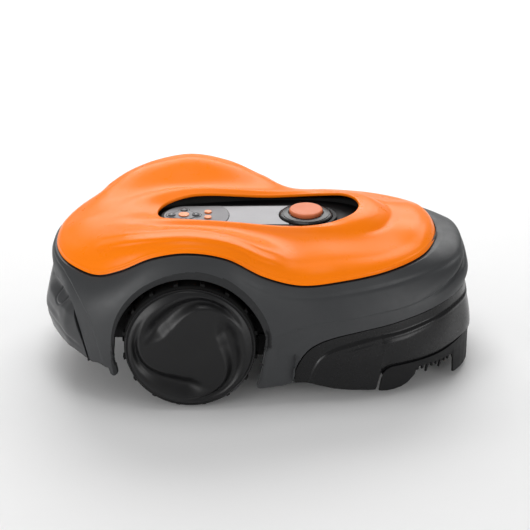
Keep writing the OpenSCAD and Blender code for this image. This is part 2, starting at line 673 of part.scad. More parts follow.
module tyre() color(black) {
    tread_r = wheel_d / 2 - lug_h;
    difference() {
        cylinder(h = tyre_w, r = tread_r);
        translate([0, 0, -1]) cylinder(h = tyre_w + 2, r = rim_r);
    }
    for (row = [0, 1]) for (i = [0:lug_count - 1])
        rotate((i + row / 2) * 360 / lug_count)
            translate([tread_r - 0.5, -2.5, row ? tyre_w - 13 : 4]) cube([lug_h + 0.4, 5, 9]);
}
module wheel_rim() color(black)
    difference() {
        union() {
            cylinder(h = hub_face - hub_cap_h - wheel_in, r = rim_r);
            translate([0, 0, -8]) cylinder(h = 10, r = 16);
        }
        translate([0, 0, -1]) difference() {
            cylinder(h = 22, r = rim_r - 4);
            cylinder(h = 30, r = 18);
        }
        translate([0, 0, -20]) cylinder(h = 100, r = axle_r);
    }
module hub_cap() color("#232426") {
    r = hub_cap_d / 2;
    foot = wheel_in + tyre_w + 0.6 - hub_face + hub_cap_h;
    rotate_extrude() polygon([[0, 0], [rim_r - 1, 0], [rim_r - 1, foot], [r - 1, foot],
        [r, foot + 1.2], [r - 0.6, 5], [r - 6, 7.4], [r - 16, 9.4], [40, 11], [0, hub_cap_h]]);
}
module drive_axle() color(steel) cylinder(h = 62, r = axle_r);

module tyre_right() at_wheel(wheel_in) tyre();
module wheel_rim_right() at_wheel(wheel_in) wheel_rim();
module hub_cap_right() at_wheel(hub_face - hub_cap_h) hub_cap();
module drive_axle_right() at_wheel(84) drive_axle();
module tyre_left() mirror([0, 1, 0]) at_wheel(wheel_in) tyre();
module wheel_rim_left() mirror([0, 1, 0]) at_wheel(wheel_in) wheel_rim();
module hub_cap_left() mirror([0, 1, 0]) at_wheel(hub_face - hub_cap_h) hub_cap();
module drive_axle_left() mirror([0, 1, 0]) at_wheel(84) drive_axle();

// ---- casters ----

module at_caster() translate([caster_x, -caster_y, 0]) children();
fork_top = caster_d + 7;

module caster_fork() color(black)
    at_caster() difference() {
        union() {
            translate([0, 0, fork_top - 1]) cylinder(h = 26, r = stem_r);
            translate([0, 0, caster_d + 2]) cylinder(h = 5, r = 13);
            for (s = [-1, 1]) hull() {
                translate([-8, s * (caster_w / 2 + 3) - 1.5, caster_d + 2]) cube([16, 3, 4]);
                translate([-caster_trail, s * (caster_w / 2 + 3), caster_d / 2]) rotate([90, 0, 0])
                    cylinder(h = 3, r = 7, center = true, $fn = 32);
            }
            translate([-8, -caster_w / 2 - 4, caster_d + 2]) cube([16, caster_w + 8, 4]);
        }
        translate([-caster_trail, 0, caster_d / 2]) rotate([90, 0, 0])
            cylinder(h = 60, r = 3, center = true);
    }
module caster_wheel() color("#2b2c2e")
    at_caster() translate([-caster_trail, caster_w / 2, caster_d / 2]) rotate([90, 0, 0])
    rotate_extrude() {
        w = caster_w;
        r = caster_d / 2;
        polygon([[3 + running, 0], [r - 3, 0], [r - 0.8, 2], [r, 5], [r, w - 5], [r - 0.8, w - 2],
            [r - 3, w], [3 + running, w]]);
    }
module caster_axle() color(steel)
    at_caster() translate([-caster_trail, 0, caster_d / 2]) rotate([90, 0, 0])
        cylinder(h = caster_w + 10, r = 3, center = true);

module caster_fork_right() caster_fork();
module caster_wheel_right() caster_wheel();
module caster_axle_right() caster_axle();
module caster_fork_left() mirror([0, 1, 0]) caster_fork();
module caster_wheel_left() mirror([0, 1, 0]) caster_wheel();
module caster_axle_left() mirror([0, 1, 0]) caster_axle();

top_cover();
grey_shell();
front_fascia();
tail_panel();
shell_brace_front();
shell_brace_rear();
float_pillars();
chassis_tub();
chassis_lid();
lid_gasket();
lid_screws();
console_bezel();
keypad_panel();
window_panel();
comb_guard();
charge_contacts();
gear_motor_right();
gear_motor_left();
battery_pack();
battery_door();
door_screws();
main_board();
loop_sensor();
power_switch();
cutter_carriage();
cutter_motor();
blade_disc();
cutter_spindle();
blade_screws();
blade_1();
blade_2();
blade_3();
skid_plate();
height_dial();
height_spindle();
stop_button();
key_ok();
key_up();
key_down();
key_left();
key_right();
key_upper();
key_lower();
tyre_right();
wheel_rim_right();
hub_cap_right();
drive_axle_right();
tyre_left();
wheel_rim_left();
hub_cap_left();
drive_axle_left();
caster_fork_right();
caster_wheel_right();
caster_axle_right();
caster_fork_left();
caster_wheel_left();
caster_axle_left();
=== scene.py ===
"""Looks of a robotic lawn mower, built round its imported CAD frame.

Lengths are written in millimetres and turned into metres where a mesh is made. +X is forward,
+Y is the mower's left and +Z is up; the origin is on the ground under the middle.
"""

import math

import bmesh
import bpy
import numpy as np
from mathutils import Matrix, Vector


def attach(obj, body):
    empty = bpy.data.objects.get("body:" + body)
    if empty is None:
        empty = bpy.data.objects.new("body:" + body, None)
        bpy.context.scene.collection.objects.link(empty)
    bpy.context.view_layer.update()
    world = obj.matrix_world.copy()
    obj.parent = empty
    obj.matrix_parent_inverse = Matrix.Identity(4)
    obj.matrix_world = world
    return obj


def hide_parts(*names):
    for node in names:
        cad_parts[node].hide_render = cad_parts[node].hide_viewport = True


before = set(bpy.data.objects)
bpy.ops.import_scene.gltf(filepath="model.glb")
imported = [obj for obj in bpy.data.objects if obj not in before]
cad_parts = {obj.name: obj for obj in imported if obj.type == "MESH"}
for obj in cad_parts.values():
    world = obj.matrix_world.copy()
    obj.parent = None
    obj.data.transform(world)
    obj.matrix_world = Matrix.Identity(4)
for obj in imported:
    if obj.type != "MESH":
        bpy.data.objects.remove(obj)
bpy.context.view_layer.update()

MM = 0.001

# ---------------------------------------------------------------- guide curves
# One row per station from the nose round the side to the tail, for one side of the mower.

SEAM = [[222, 0, 163.5], [214.5, 48, 164.5], [193, 88, 163], [150, 119, 158.5], [98, 134, 153.5],
        [50, 140.5, 151.5], [5, 144, 165], [-38, 147, 189.5], [-83, 147.5, 197.8],
        [-126, 143, 190], [-165, 132, 169], [-196, 115, 156], [-228, 82, 155], [-245, 44, 155],
        [-250.5, 0, 155]]
RIDGE = [[204, 0, 181], [196, 40, 180.5], [176, 70, 174], [140, 96, 172], [92, 107, 173],
         [46, 115, 172], [9, 122, 186], [-32, 121.5, 204.5], [-80, 124, 214.5],
         [-124, 118, 210.5], [-160, 106, 202], [-190, 86, 188], [-214, 60, 177],
         [-230, 32, 171], [-236, 0, 170]]
VALLEY = [[168, 0, 186], [162, 26, 186], [147, 48, 184.5], [118, 62, 184], [74, 66, 185.5],
          [36, 66, 187], [2, 64, 190], [-32, 62, 194], [-70, 61, 196.5], [-104, 60, 196.5],
          [-134, 54, 195], [-158, 43, 192.5], [-174, 30, 190], [-183, 15, 188], [-186, 0, 187.5]]
LIP = [[127, 0, 199], [122, 22, 198.5], [108, 38, 196.7], [85, 47.5, 193], [58, 51, 190.8],
       [30, 49.5, 190.5], [5, 47.5, 191.3], [-25, 46, 193.4], [-55, 44.5, 195.3], [-80, 41, 196],
       [-98, 34.5, 194.6], [-112, 27, 192], [-120, 19, 190], [-124.5, 10, 189], [-126, 0, 188.7]]
# Widest outline of the body; the last column shapes the wall above the waist
GIRTH = [[259.5, 0, 14], [253, 58, 9], [228, 104, 4], [180, 136, 2.2], [120, 153, 1.9],
         [62, 158.5, 2], [8, 161, 3.5], [-38, 162.5, 6], [-83, 163, 7], [-128, 162, 6],
         [-172, 156, 4.5], [-208, 138, 4], [-238, 100, 4.5], [-254, 52, 6], [-259.5, 0, 7]]
# Seams, edges and creases as [station, height]
NOSE_SEAM = [[0, 117.5], [1, 117], [1.5, 115.8], [1.86, 114.2], [2.21, 111.7], [2.53, 108.3],
             [2.99, 104.3], [3.38, 100.4], [3.83, 97], [4.3, 92.6], [4.61, 88.3], [4.87, 82.5],
             [5.09, 73.4], [5.23, 62.5], [5.32, 51], [5.38, 40.6], [5.41, 29.5]]
TAIL_SEAM = [[10.94, 54], [11.15, 80.7], [11.35, 102], [11.53, 117.6], [11.75, 125.5],
             [12, 128.5], [12.4, 129], [13, 128.5], [14, 127.5]]
FASCIA_EDGE = [[0, 56], [0.8, 56], [1.1, 55.5], [1.45, 54], [1.77, 51.5], [2.14, 47.6], [2.4, 46],
               [2.67, 45.2], [3.03, 45.2], [3.36, 44.5], [3.45, 41], [3.5, 35.6], [3.53, 28],
               [3.55, 11.3], [3.9, 13.6], [4.42, 18.3], [4.8, 24.5], [5.09, 29], [5.41, 29.3]]
TAIL_EDGE = [[10.94, 54], [11.3, 58], [11.72, 61], [12.47, 61.5], [14, 60]]
FACET = [[0, 148], [0.5, 147], [0.92, 144.4], [1.33, 140.3], [1.9, 133], [2.27, 127.6],
         [2.64, 122.5], [3.1, 118.3], [3.5, 116.3], [4.1, 112], [4.9, 107], [5.48, 100],
         [5.81, 92], [6, 86]]
FASCIA_RIDGE = [[0, 103], [1.5, 101.5], [2.2, 97.5], [2.74, 92.5], [3.1, 89], [3.7, 85],
                [4.31, 77.5], [4.61, 71], [4.83, 60.5], [4.97, 44], [5.03, 29]]
REAR_FACET = [[10.35, 50], [10.57, 76], [10.71, 95], [10.93, 115], [11.26, 128.8],
              [11.51, 136.4], [11.87, 144.5], [12.36, 149.4], [14, 151]]
# Lower edge of the grey shell beside the wheel, as [station, height, seam station above it]
ARCH_FRONT = [[5.41, 29.5, 5.3], [5.55, 26.5, 5.38], [5.67, 25, 5.42], [5.95, 25.2, 5.48],
              [6.22, 25.5, 5.54], [6.165, 38, 5.66], [6.11, 51.3, 5.76], [6.07, 64.5, 5.82],
              [6.03, 76, 5.91]]
ARCH_REAR = [[10.09, 71, 10.28], [10.05, 52, 10.34], [10.06, 42, 10.37], [10.14, 40.3, 10.4],
             [10.22, 41.5, 10.43], [10.3, 50, 10.47], [10.4, 51, 10.54], [10.65, 53.7, 10.72]]

LAST = len(SEAM) - 1
STATION_STEP = 45.0     # length along the wall that one station stands for
WAIST_Z = 80.0          # height of the widest outline
TUCK_IN = 0.05          # share by which the wall draws in from the waist to the ground
CORNER = 3.0            # how far the corners at nose and tail swell out
NOSE_FLARE = 0.038      # share by which the nose widens towards its foot
PINCH, PINCH_Z, PINCH_H = 0.018, 119.0, 12.0     # crease round the tail: share, height, reach
SEAM_GAP = 1.8          # between a panel and the seam line above it
RIM_UP = 3.4            # how high the slot's rim swells over the line from valley to lip
EDGE_UP = 1.1           # lower edge of the orange cover over the seam line
COVER_T, SKIN_T = 1.4, 1.2     # walls of the orange cover and of the other skins
LIP_ROLL = 1.8          # radius at which the cover rolls down into the slot
WHEEL = np.array([-83.0, 0.0, 82.0])     # middle of the drive axle
ARCH_R = 88.5           # wheel arch, round the wheel's axle
ARCH_FLARE = 3.0        # how much longer the arch is than a circle, at its feet
ARCH_STATION = 8.033    # station over the wheel's axle
DIAL_X = 60.0           # axis of the height dial and the stop button

FLIP = np.array([1.0, -1.0, 1.0])


def guide(table, t):
    """Points of a guide curve at the stations t, mirrored past both ends."""
    g = np.array(table, float)
    n = len(g) - 1
    t = np.asarray(t, float)
    past = (t < 0) | (t > n)
    t = np.where(t < 0, -t, np.where(t > n, 2 * n - t, t))
    i = np.clip(np.floor(t).astype(int), 0, n - 1)
    f = (t - i)[..., None]
    g = np.vstack([g[1] * FLIP, g, g[n - 1] * FLIP])
    a, b, c, d = g[i], g[i + 1], g[i + 2], g[i + 3]
    p = (2 * b + (c - a) * f + (2 * a - 5 * b + 4 * c - d) * f**2
         + (3 * b - a - 3 * c + d) * f**3) / 2
    return np.where(past[..., None], p * FLIP, p)


def hermite(f):
    """Weights of the start, its slope, the end and its slope at the share f of a stretch."""
    return 2 * f**3 - 3 * f**2 + 1, f**3 - 2 * f**2 + f, 3 * f**2 - 2 * f**3, f**3 - f**2


def lookup(t, table):
    """Height of a line at the stations t: smooth, and never past its points."""
    x, y = np.array(table, float).T
    h = np.diff(x)
    d = np.diff(y) / h
    same = d[1:] * d[:-1] > 0
    total = np.where(same, d[1:] + d[:-1], 1)
    inner = np.where(same, 2 * d[1:] * d[:-1] / total, 0)
    slope = np.concatenate([[0], inner, [d[-1]]])
    t = np.clip(t, x[0], x[-1])
    i = np.clip(np.searchsorted(x, t, side="right") - 1, 0, len(h) - 1)
    start, leave, end, arrive = hermite((t - x[i]) / h[i])
    return (y[i] * start + slope[i] * h[i] * leave
            + y[i + 1] * end + slope[i + 1] * h[i] * arrive)


def below_line(k, z, table):
    """How far points lie below a line of [station, height], measured square to it."""
    slope = (lookup(k + 0.02, table) - lookup(k - 0.02, table)) / (0.04 * STATION_STEP)
    return (lookup(k, table) - z) / np.hypot(1, slope)


def step(lo, hi, v):
    """Smooth step from 0 at lo to 1 at hi; lo may be above hi."""
    u = np.clip((v - lo) / (hi - lo), 0, 1)
    return u * u * (3 - 2 * u)


def hump(v, middle, width):
    """Smooth bump, 1 at the middle and fading out over the width on either side."""
    return np.exp(-((v - middle) / width) ** 2)


def smooth(points, steps):
    """Smooth curve through the control points, each an array of one point per column.

    Each stretch between two of them gets its count of rows from steps.
    """
    p = np.array(points, float)
    run = np.diff(p, axis=0)
    h = np.linalg.norm(run, axis=-1, keepdims=True)
    u = run / h
    head = np.empty_like(p)
    head[0], head[-1] = u[0], u[-1]
    head[1:-1] = (u[:-1] * h[1:] + u[1:] * h[:-1]) / (h[:-1] + h[1:])
    rows = []
    for i, count in enumerate(steps):
        for f in np.arange(count) / count:
            start, leave, end, arrive = hermite(f)
            rows.append(p[i] * start + head[i] * h[i] * leave
                        + p[i + 1] * end + head[i + 1] * h[i] * arrive)
    rows.append(p[-1])
    return np.array(rows)


def wall(k, z):
    """Points of the side wall at the stations k and the heights z."""
    s, g = guide(SEAM, k), guide(GIRTH, k)
    lean = (np.maximum(z - WAIST_Z, 0) / (s[..., 2] - WAIST_Z)) ** g[..., 2]
    tuck = 1 - TUCK_IN * (np.maximum(WAIST_Z - z, 0) / WAIST_Z) ** 2
    # creased across the tail, flared at the foot of the nose
    tuck = tuck - PINCH * step(11.5, 12.5, k) * step(PINCH_H, 0, np.abs(z - PINCH_Z))
    tuck = tuck + NOSE_FLARE * step(2.6, 0.6, k) * step(110, 40, z)
    x = g[..., 0] + (s[..., 0] - g[..., 0]) * lean
    y = g[..., 1] + (s[..., 1] - g[..., 1]) * lean
    return np.stack([x * tuck, y * tuck, z + 0 * x], axis=-1)


# ---------------------------------------------------------------- meshes

def piece_from(name, verts, faces, body, material, replaces=(), flat=False, angle=40):
    """A piece that rides on a body, made from vertices in millimetres."""
    mesh = bpy.data.meshes.new(name)
    mesh.from_pydata([tuple(v) for v in np.asarray(verts, float) * MM], [], faces)
    mesh.validate()
    bm = bmesh.new()
    bm.from_mesh(mesh)
    bmesh.ops.recalc_face_normals(bm, faces=bm.faces)
    bm.to_mesh(mesh)
    bm.free()
    obj = bpy.data.objects.new(name, mesh)
    bpy.context.scene.collection.objects.link(obj)
    mesh.materials.append(material)
    if not flat:
        mesh.shade_smooth()
        mesh.set_sharp_from_angle(angle=math.radians(angle))
    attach(obj, body)
    if replaces:
        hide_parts(*replaces)
    return obj


def grid_quads(rows, cols, wrap_rows=False, wrap_cols=False, start=0):
    """Four-sided faces of a grid of vertices that begins at the index start."""
    quads = []
    for r in range(rows if wrap_rows else rows - 1):
        for c in range(cols if wrap_cols else cols - 1):
            r2, c2 = (r + 1) % rows, (c + 1) % cols
            quads.append((start + r * cols + c, start + r * cols + c2,
                          start + r2 * cols + c2, start + r2 * cols + c))
    return quads


def grid_normals(grid, wrap_cols):
    """Unit normals of a grid of points, rows by columns."""
    along = (np.roll(grid, -1, 1) - np.roll(grid, 1, 1)) if wrap_cols else np.gradient(grid, axis=1)
    up = np.gradient(grid, axis=0)
    n = np.cross(up, along)
    return n / np.maximum(np.linalg.norm(n, axis=-1, keepdims=True), 1e-9)


def lathe(profile, turns=96):
    """Vertices and faces of a profile of (radius, height) turned round Z; radius 0 closes an end."""
    verts, faces, rings = [], [], []
    for r, z in profile:
        if r == 0:
            rings.append([len(verts)])
            verts.append((0, 0, z))
        else:
            rings.append(list(range(len(verts), len(verts) + turns)))
            verts += [(r * math.cos(a), r * math.sin(a), z)
                      for a in np.linspace(0, 2 * math.pi, turns, endpoint=False)]
    for low, high in zip(rings, rings[1:]):
        for i in range(turns):
            j = (i + 1) % turns
            if len(low) == 1:
                faces.append((low[0], high[i], high[j]))
            elif len(high) == 1:
                faces.append((low[i], low[j], high[0]))
            else:
                faces.append((low[i], low[j], high[j], high[i]))
    return verts, faces


def rounded(points, radius, steps=4):
    """A (radius, height) profile with its inner corners rounded."""
    out = [points[0]]
    for a, b, c in zip(points, points[1:], points[2:]):
        a, b, c = (np.array(v, float) for v in (a, b, c))
        cut = min(radius, np.linalg.norm(a - b) / 2.1, np.linalg.norm(c - b) / 2.1)
        p = b + (a - b) / np.linalg.norm(a - b) * cut
        q = b + (c - b) / np.linalg.norm(c - b) * cut
        for f in np.linspace(0, 1, steps + 1):
            out.append(tuple((1 - f) ** 2 * p + 2 * f * (1 - f) * b + f * f * q))
    return out + [points[-1]]


def placed(verts, move=(0, 0, 0), turn_x=0.0, flip_y=False):
    """Vertices turned about X, then moved, then mirrored if asked."""
    v = np.asarray(verts, float)
    c, s = math.cos(math.radians(turn_x)), math.sin(math.radians(turn_x))
    v = np.stack([v[:, 0], v[:, 1] * c - v[:, 2] * s, v[:, 1] * s + v[:, 2] * c], axis=1)
    v = v + np.array(move, float)
    return v * FLIP if flip_y else v


def joined(parts):
    """Several (verts, faces) as one."""
    verts, faces = [], []
    for v, f in parts:
        start = len(verts)
        verts += [tuple(p) for p in v]
        faces += [tuple(i + start for i in face) for face in f]
    return verts, faces


def extrude(outline, low, high):
    """A closed prism of an XY outline between two heights."""
    n = len(outline)
    verts = [(x, y, low) for x, y in outline] + [(x, y, high) for x, y in outline]
    faces = [tuple(range(n))[::-1], tuple(range(n, 2 * n))]
    faces += [(i, (i + 1) % n, n + (i + 1) % n, n + i) for i in range(n)]
    return verts, faces


def bevel(obj, width, segments=3, angle=35):
    """Round the edges that are sharper than the angle."""
    m = obj.modifiers.new("bevel", "BEVEL")
    m.width, m.segments = width * MM, segments
    m.limit_method, m.angle_limit = "ANGLE", math.radians(angle)
    m.harden_normals = True


def thicken(obj, thickness):
    """Give a skin a wall on its inner side."""
    m = obj.modifiers.new("wall", "SOLIDIFY")
    m.thickness, m.offset = thickness * MM, -1


# ---------------------------------------------------------------- materials

WEAR = 0.06     # how far the roughness wanders to either side


def plastic(name, color, rough=0.45, coat=0.0, grain=0.0, grain_mm=0.4, vary=0.12, specular=0.5,
            metal=0.0):
    """Moulded material: colour drift, patchy roughness and fine grain."""
    mat = bpy.data.materials.new(name)
    mat.use_nodes = True
    tree = mat.node_tree
    shader = tree.nodes["Principled BSDF"]
    shader.inputs["Metallic"].default_value = metal
    shader.inputs["Specular IOR Level"].default_value = specular
    shader.inputs["Coat Weight"].default_value = coat
    shader.inputs["Coat Roughness"].default_value = 0.06

    place = tree.nodes.new("ShaderNodeTexCoord")
    cloud = tree.nodes.new("ShaderNodeTexNoise")
    cloud.inputs["Scale"].default_value = 9.0
    cloud.inputs["Detail"].default_value = 5.0
    tree.links.new(place.outputs["Object"], cloud.inputs["Vector"])

    tint = tree.nodes.new("ShaderNodeMix")
    tint.data_type = "RGBA"
    dark = [c * (1 - vary) for c in color]
    light = [min(c * (1 + vary), 1.0) for c in color]
    tint.inputs["A"].default_value = (*dark, 1)
    tint.inputs["B"].default_value = (*light, 1)
    tree.links.new(cloud.outputs["Fac"], tint.inputs["Factor"])
    tree.links.new(tint.outputs["Result"], shader.inputs["Base Color"])

    wear = tree.nodes.new("ShaderNodeTexNoise")
    wear.inputs["Scale"].default_value = 60.0
    wear.inputs["Detail"].default_value = 8.0
    wear.inputs["Roughness"].default_value = 0.65
    spread = tree.nodes.new("ShaderNodeMapRange")
    spread.inputs["From Min"].default_value = 0.3
    spread.inputs["From Max"].default_value = 0.7
    spread.inputs["To Min"].default_value = max(rough - WEAR, 0.02)
    spread.inputs["To Max"].default_value = rough + WEAR
    tree.links.new(place.outputs["Object"], wear.inputs["Vector"])
    tree.links.new(wear.outputs["Fac"], spread.inputs["Value"])
    tree.links.new(spread.outputs["Result"], shader.inputs["Roughness"])

    if grain:
        fine = tree.nodes.new("ShaderNodeTexNoise")
        fine.inputs["Scale"].default_value = 1.0 / (grain_mm * MM)
        fine.inputs["Detail"].default_value = 3.0
        relief = tree.nodes.new("ShaderNodeBump")
        relief.inputs["Strength"].default_value = grain
        relief.inputs["Distance"].default_value = 0.0002
        tree.links.new(place.outputs["Object"], fine.inputs["Vector"])
        tree.links.new(fine.outputs["Fac"], relief.inputs["Height"])
        tree.links.new(relief.outputs["Normal"], shader.inputs["Normal"])
    return mat


def metal(name, color, rough=0.3, brush=(1, 1, 1), brush_scale=900.0):
    """Brushed metal: long thin noise across the surface for its relief, over patchy roughness."""
    mat = plastic(name, color, rough, metal=1.0, vary=0.06)
    tree = mat.node_tree
    shader = tree.nodes["Principled BSDF"]
    place = tree.nodes.new("ShaderNodeTexCoord")
    stretch = tree.nodes.new("ShaderNodeMapping")
    stretch.inputs["Scale"].default_value = brush
    lines = tree.nodes.new("ShaderNodeTexNoise")
    lines.inputs["Scale"].default_value = brush_scale
    relief = tree.nodes.new("ShaderNodeBump")
    relief.inputs["Strength"].default_value = 0.25
    relief.inputs["Distance"].default_value = 0.0001
    tree.links.new(place.outputs["Object"], stretch.inputs["Vector"])
    tree.links.new(stretch.outputs["Vector"], lines.inputs["Vector"])
    tree.links.new(lines.outputs["Fac"], relief.inputs["Height"])
    tree.links.new(relief.outputs["Normal"], shader.inputs["Normal"])
    return mat


ORANGE = plastic("orange_gloss", (1.0, 0.21, 0.001), 0.31, specular=0.15, grain=0.04, grain_mm=3.0,
                 vary=0.03)
GREY = plastic("grey_grained", (0.026, 0.0275, 0.0295), 0.5, grain=0.3, grain_mm=0.5, vary=0.06)
# painted shade: a darker copy of the grey, for the lip round the wheel arches
GREY_ARCH_SHADE = plastic("grey_arch_shade", (0.012, 0.0125, 0.0135), 0.55, specular=0.4, grain=0.3,
                   grain_mm=0.5, vary=0.06)
BLACK_GLOSS = plastic("black_gloss", (0.005, 0.005, 0.0055), 0.27, specular=0.3, grain=0.03,
                      grain_mm=3.0, vary=0.2)
TAIL_SATIN = plastic("tail_satin", (0.03, 0.031, 0.033), 0.36, grain=0.1, grain_mm=0.8, vary=0.1)
BLACK_MATT = plastic("black_matt", (0.005, 0.005, 0.0055), 0.6, specular=0.25, grain=0.3,
                     grain_mm=0.5, vary=0.2)
HUB_BLACK = plastic("hub_satin", (0.004, 0.004, 0.0045), 0.4, specular=0.36, grain=0.06,
                    grain_mm=0.6, vary=0.2)
RUBBER = plastic("rubber", (0.005, 0.005, 0.005), 0.75, specular=0.2, grain=0.5, grain_mm=0.8,
                 vary=0.25)
PANEL_GREY = plastic("panel_grey", (0.2, 0.2, 0.21), 0.45, specular=0.3, vary=0.05)
WINDOW_GREY = plastic("window_grey", (0.36, 0.36, 0.375), 0.42, specular=0.3, vary=0.05)
PAD_GREY = plastic("pad_grey", (0.055, 0.058, 0.064), 0.3, coat=0.2, vary=0.08)
KEY_ORANGE = plastic("key_orange", (0.9, 0.25, 0.06), 0.35, grain=0.1, vary=0.06)
STOP_ORANGE = plastic("stop_orange", (0.72, 0.2, 0.08), 0.5, specular=0.3, grain=0.15,
                      grain_mm=0.6, vary=0.05)
KEY_GREY = plastic("key_grey", (0.05, 0.052, 0.056), 0.5, specular=0.3, grain=0.1, vary=0.08)
STEEL = metal("steel_brushed", (0.62, 0.62, 0.63), 0.28, brush=(1, 0.05, 1))
CONTACT = metal("contact_gilt", (0.8, 0.62, 0.3), 0.3, brush=(1, 1, 0.05))
COPPER = metal("copper_wire", (0.72, 0.36, 0.16), 0.35, brush=(0.05, 1, 1), brush_scale=2500.0)
MOTOR_GREY = plastic("motor_grey", (0.11, 0.112, 0.118), 0.42, grain=0.3, vary=0.1)
BATTERY = plastic("battery_wrap", (0.03, 0.12, 0.34), 0.35, coat=0.2, vary=0.12)
BOARD = plastic("board_green", (0.012, 0.13, 0.045), 0.32, coat=0.3, vary=0.25)
SWITCH_RED = plastic("switch_red", (0.5, 0.025, 0.018), 0.28, coat=0.3, vary=0.08)

NODE_MATERIALS = {
    "chassis_tub": BLACK_MATT, "chassis_lid": BLACK_MATT, "lid_gasket": RUBBER,
    "lid_screws": STEEL, "shell_brace_front": BLACK_MATT, "shell_brace_rear": BLACK_MATT,
    "float_pillars": RUBBER, "charge_contacts": CONTACT, "gear_motor_right": MOTOR_GREY,
    "gear_motor_left": MOTOR_GREY, "battery_pack": BATTERY, "battery_door": BLACK_MATT,
    "door_screws": STEEL, "main_board": BOARD, "loop_sensor": COPPER, "power_switch": SWITCH_RED,
    "cutter_carriage": MOTOR_GREY, "cutter_motor": STEEL, "blade_disc": HUB_BLACK,
    "cutter_spindle": STEEL, "blade_screws": STEEL, "blade_1": STEEL, "blade_2": STEEL,
    "blade_3": STEEL, "skid_plate": BLACK_MATT, "height_spindle": STEEL,
    "comb_guard": BLACK_MATT, "console_bezel": BLACK_MATT, "keypad_panel": PANEL_GREY,
    "window_panel": WINDOW_GREY, "height_dial": BLACK_GLOSS, "stop_button": STOP_ORANGE,
    "key_ok": KEY_ORANGE, "key_upper": KEY_ORANGE, "key_lower": KEY_ORANGE, "key_up": KEY_GREY,
    "key_down": KEY_GREY, "key_left": KEY_GREY, "key_right": KEY_GREY,
}
for side in ("right", "left"):
    NODE_MATERIALS.update({
        f"wheel_rim_{side}": BLACK_MATT, f"drive_axle_{side}": STEEL, f"tyre_{side}": RUBBER,
        f"hub_cap_{side}": HUB_BLACK, f"caster_fork_{side}": BLACK_MATT,
        f"caster_wheel_{side}": RUBBER, f"caster_axle_{side}": STEEL})
for node, material in NODE_MATERIALS.items():
    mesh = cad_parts[node].data
    mesh.materials.clear()
    mesh.materials.append(material)


# ---------------------------------------------------------------- covers

def both_sides(half):
    """Columns from nose to tail on the right become a closed ring round the body."""
    right = half * FLIP
    return np.concatenate([right, half[:, -2:0:-1]], axis=1)


def add_top_cover():
    """Orange cover, from its lower edge over the fenders and down into the console slot."""
    t = np.linspace(0, LAST, 301)
    seam, ridge, valley, lip = (guide(table, t) for table in (SEAM, RIDGE, VALLEY, LIP))
    bulge = ridge + (seam - ridge) * np.array([0.72, 0.72, 0.45])
    rim = lip + (valley - lip) * 0.4 + [0, 0, RIM_UP]
    foot = seam + [0, 0, EDGE_UP]
    counts = [24, 16, 44, 18, 12]
    at_ridge, at_valley = sum(counts[:2]), sum(counts[:3])
    rows = smooth([foot, bulge, ridge, valley, rim, lip], counts)
    normal = grid_normals(both_sides(rows), True)[:, :len(t)] * FLIP
    length = np.concatenate([[np.zeros(len(t))],
                             np.cumsum(np.linalg.norm(np.diff(rows, axis=0), axis=-1), axis=0)])
    below = length[at_ridge] - length        # distance below the ridge along the surface
    inward = length[at_valley] - length      # distance outside the valley
    station = t[None, :]
    # a band under the fender's ridge, which swells down to a crease
    fender = step(5.35, 6.0, station) * step(11.3, 10.8, station)
    lift = fender * (2.2 * step(-1, 10, below) * step(14.5, 10.5, below) - 0.5 * hump(below, -3, 2.5))
    lift -= 2.0 * step(3.0, 1.6, station) * hump(inward, 0.0, 6.0)
    # the bead above the lower edge
    lift += 0.5 * hump(length, 4.6, 1.6) - 0.3 * hump(length, 1.8, 1.5)
    rows = rows + normal * lift[..., None]
    # the lip rolls down into the slot, the lower edge rolls under
    axis_dir = (rows[-1] - rows[-4]) * [1, 1, 0]
    axis_dir /= np.linalg.norm(axis_dir, axis=-1, keepdims=True)
    roll = [rows[-1] + axis_dir * LIP_ROLL * math.sin(a) + [0, 0, -LIP_ROLL * (1 - math.cos(a))]
            for a in np.radians([20, 40, 60, 80, 90])]
    roll += [roll[-1] + [0, 0, -d] for d in (0.8, 1.7)]
    out = (seam - ridge) * [1, 1, 0]
    out /= np.linalg.norm(out, axis=-1, keepdims=True)
    edge = rows[0]
    under = [edge - out * 3.0 + [0, 0, 0.1], edge - out * 1.0 + [0, 0, -0.2], edge - out * 0.25]
    grid = both_sides(np.array(under + list(rows[1:]) + roll))
    obj = piece_from("top_cover_skin", grid.reshape(-1, 3),
                     grid_quads(grid.shape[0], grid.shape[1], wrap_cols=True),
                     "covers", ORANGE, ["top_cover"], angle=60)
    thicken(obj, COVER_T)


def arch_point(a):
    """Point of the wheel arch as [station, height, seam station above it]."""
    reach = ARCH_R + ARCH_FLARE * math.cos(a) ** 6
    return [ARCH_STATION - reach / STATION_STEP * math.cos(a), WHEEL[2] + ARCH_R * math.sin(a),
            8.09 - 2.11 * math.cos(a)]


def grey_edge():
    """Lower edge of the grey shell as [station, height, seam station above it], nose to tail."""
    path = [[k, float(lookup(k, NOSE_SEAM)), k] for k in np.arange(0, 5.11, 0.3)]
    path += [[5.23, 62.5, 5.16], [5.33, 50, 5.21], [5.38, 40.6, 5.25]]
    path += ARCH_FRONT + [arch_point(a) for a in np.radians(np.arange(0, 181, 7.5))] + ARCH_REAR
    path += [[10.94, 54, 10.93], [11.05, 68, 11.03], [11.15, 80.7, 11.14]]
    path += [[k, float(lookup(k, TAIL_SEAM)), k] for k in np.arange(11.3, 14.01, 0.3)]
    path = np.array(path) * [STATION_STEP, 1, STATION_STEP]
    gaps = np.linalg.norm(np.diff(path[:, :2], axis=0), axis=1)
    edge = smooth(path, np.ceil(gaps / 2.2).astype(int)) / [STATION_STEP, 1, STATION_STEP]
    edge[-1] = [LAST, edge[-1, 1], LAST]
    return edge


def corners(k):
    """Fullness of the corners at the nose and at the tail."""
    return CORNER * (hump(k, 1.0, 0.5) + hump(k, 13.1, 0.5))


